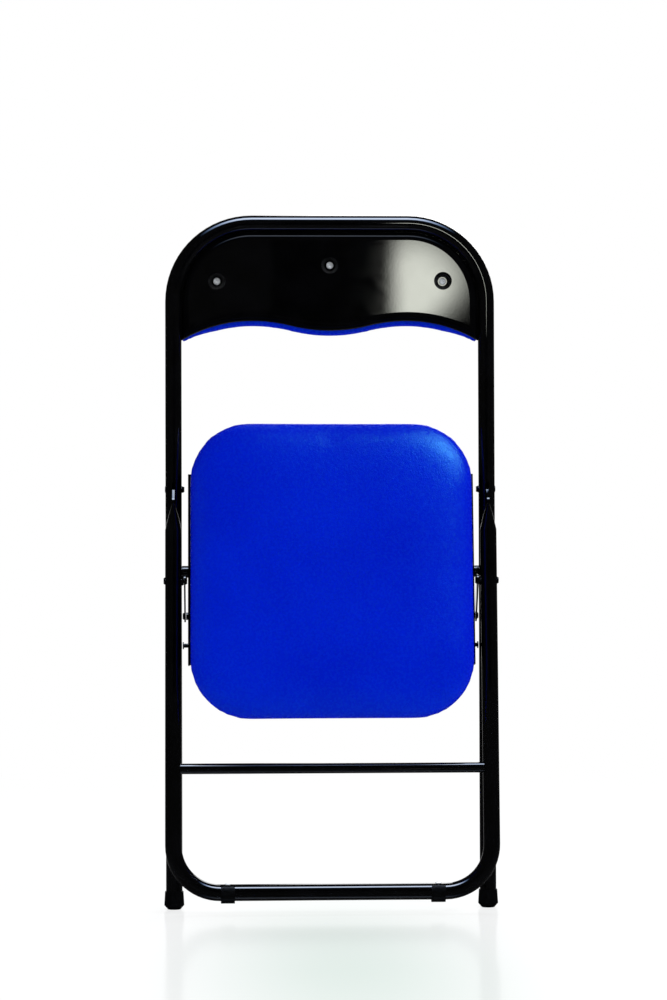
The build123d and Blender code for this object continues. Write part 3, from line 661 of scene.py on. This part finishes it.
def soft_box(make, place):
    """Glow round a middle, with a soft left edge and a slanted corner, as they show in the glossy panel."""
    across = ramp(make, place["X"], CARD_LEFT, CARD_LEFT + CARD_SOFT)
    slant = math_result(make, "MULTIPLY_ADD", place["X"], -CARD_CORNER_SLOPE, place["Z"])
    level = CARD_CORNER[1] - CARD_CORNER_SLOPE * CARD_CORNER[0]
    corner = ramp(make, slant, level - CARD_SOFT, level + CARD_SOFT)
    on_card = make("ShaderNodeCombineXYZ", {"X": place["X"], "Z": place["Z"]}).outputs["Vector"]
    ends = {0: on_card, 1: (CARD_MIDDLE[0], 0, CARD_MIDDLE[1])}
    away = make("ShaderNodeVectorMath", ends, operation="DISTANCE").outputs["Value"]
    edges = math_result(make, "MULTIPLY", across, corner)
    glow = math_result(make, "MULTIPLY", edges, ramp(make, away, *CARD_FADE))
    return glow, (*CARD_COLOUR, 1)


def sky_panel(make, place):
    """Bright middle that fades to all sides, bluer there, as the highlight on the top tube does."""
    aside = ramp(make, math_result(make, "ABSOLUTE", place["X"]), *OVERHEAD_SIDE)
    far = ramp(make, place["Y"], *OVERHEAD_FAR)
    near = ramp(make, place["Y"], *OVERHEAD_NEAR)
    glow = math_result(make, "MULTIPLY", aside, math_result(make, "MULTIPLY", far, near))
    return glow, two_tone(make, glow, OVERHEAD_EDGE_COLOUR, OVERHEAD_COLOUR)


card_corners = upright(CARD_LEFT, CARD_RIGHT, CARD_LOW, CARD_HIGH, CARD_Y)
soft_box_card = light_card("light_card", card_corners, CARD_RADIANCE, soft_box)
link_light(soft_box_card, "EXCLUDE", panel_seam)

# Black flags that keep the soft box off the left tube, the seat and the legs
flag_material, _, flag_shader, _ = node_material("black_flag")
flag_shader.inputs["Base Color"].default_value = (0, 0, 0, 1)
flag_shader.inputs["Specular IOR Level"].default_value = 0.0
for name, edges in FLAGS.items():
    show_in_gloss_only(flat_piece(name, upright(*edges, FLAG_Y), flag_material))

reach = OVERHEAD_SIDE[0]
far_y = OVERHEAD_FAR[0]
near_y = OVERHEAD_NEAR[0]
sky_corners = [
    (-reach, near_y, OVERHEAD_HEIGHT), (-reach, far_y, OVERHEAD_HEIGHT),
    (reach, far_y, OVERHEAD_HEIGHT), (reach, near_y, OVERHEAD_HEIGHT),
]
sky_card = light_card("overhead_card", sky_corners, OVERHEAD_RADIANCE, sky_panel)
link_light(sky_card, "EXCLUDE", seat_cushion)


def floor_finish():
    """White to the camera, with a painted shadow before the chair, a soft mirror of the feet and the rendered
    shadow.
    """
    material, tree, shader, make = node_material("floor")
    point = make("ShaderNodeTexCoord").outputs["Object"]
    rays = make("ShaderNodeLightPath").outputs
    # Painted shade: gloss sees the white floor nearly black
    base = two_tone(make, rays["Is Glossy Ray"], FLOOR_COLOUR, FLOOR_PAINTED_SHADE_IN_GLOSS)
    tree.links.new(base, shader.inputs["Base Color"])
    shader.inputs["Roughness"].default_value = FLOOR_ROUGHNESS
    # Painted shadow: a grey-green ellipse before the chair, mixed into the white that the camera sees
    painted_shadow_inputs = {
        0: point,
        1: (1 / PAINTED_SHADOW_SIZE[0], 1 / PAINTED_SHADOW_SIZE[1], 0),
        2: (0, -PAINTED_SHADOW_Y / PAINTED_SHADOW_SIZE[1], 0),
    }
    painted_shadow = make("ShaderNodeVectorMath", painted_shadow_inputs, operation="MULTIPLY_ADD").outputs["Vector"]
    painted_shadow_tint = two_tone(make, ramp(make, vector_length(make, painted_shadow), 1.0, 0.0), WHITE, PAINTED_SHADOW_COLOUR)
    white = make("ShaderNodeEmission", {"Color": painted_shadow_tint, "Strength": 1.0}).outputs["Emission"]
    whiteness = ramp(make, vector_length(make, point), *FLOOR_FADE, FLOOR_WHITE, 1.0)
    share = math_result(make, "MULTIPLY", rays["Is Camera Ray"], whiteness)
    blend = make("ShaderNodeMixShader", {"Fac": share, 1: shader.outputs["BSDF"], 2: white})
    tree.links.new(blend.outputs["Shader"], tree.nodes["Material Output"].inputs["Surface"])
    return material


floor_corners = [
    (-FLOOR_HALF, -FLOOR_HALF, 0), (FLOOR_HALF, -FLOOR_HALF, 0),
    (FLOOR_HALF, FLOOR_HALF, 0), (-FLOOR_HALF, FLOOR_HALF, 0),
]
flat_piece("floor", floor_corners, floor_finish())

# World: white to the camera and straight behind the chair, a low even fill, dark in other reflections
world = bpy.data.worlds.new("studio")
bpy.context.scene.world = world
world.use_nodes = True
make = node_maker(world.node_tree)
direction = make("ShaderNodeTexCoord").outputs["Generated"]
toward_backdrop = make("ShaderNodeSeparateXYZ", {"Vector": direction}).outputs["Y"]
backdrop = ramp(make, toward_backdrop, *BACKDROP_EDGE, BACKDROP_DARK, 1.0, "LINEAR")
rays = make("ShaderNodeLightPath").outputs
fill = math_result(make, "MULTIPLY", rays["Is Diffuse Ray"], WORLD_FILL)
lit = math_result(make, "MAXIMUM", fill, backdrop)
level = math_result(make, "MAXIMUM", rays["Is Camera Ray"], lit)
background = world.node_tree.nodes["Background"]
world.node_tree.links.new(level, background.inputs["Strength"])
background.inputs["Color"].default_value = (*WHITE, 1)

# Camera
lens = bpy.data.cameras.new("camera")
lens.sensor_fit = "VERTICAL"
lens.sensor_height = SENSOR
lens.lens = FOCAL_PIXELS * SENSOR / IMAGE_HEIGHT
camera = bpy.data.objects.new("camera", lens)
camera.matrix_world = (
    Matrix.Translation(CAMERA_PLACE)
    @ Matrix.Rotation(CAMERA_YAW, 4, "Z")
    @ Matrix.Rotation(radians(90) + CAMERA_PITCH, 4, "X")
    @ Matrix.Rotation(CAMERA_ROLL, 4, "Z")
)
bpy.context.scene.collection.objects.link(camera)
bpy.context.scene.camera = camera
bpy.context.scene.view_settings.view_transform = "Standard"
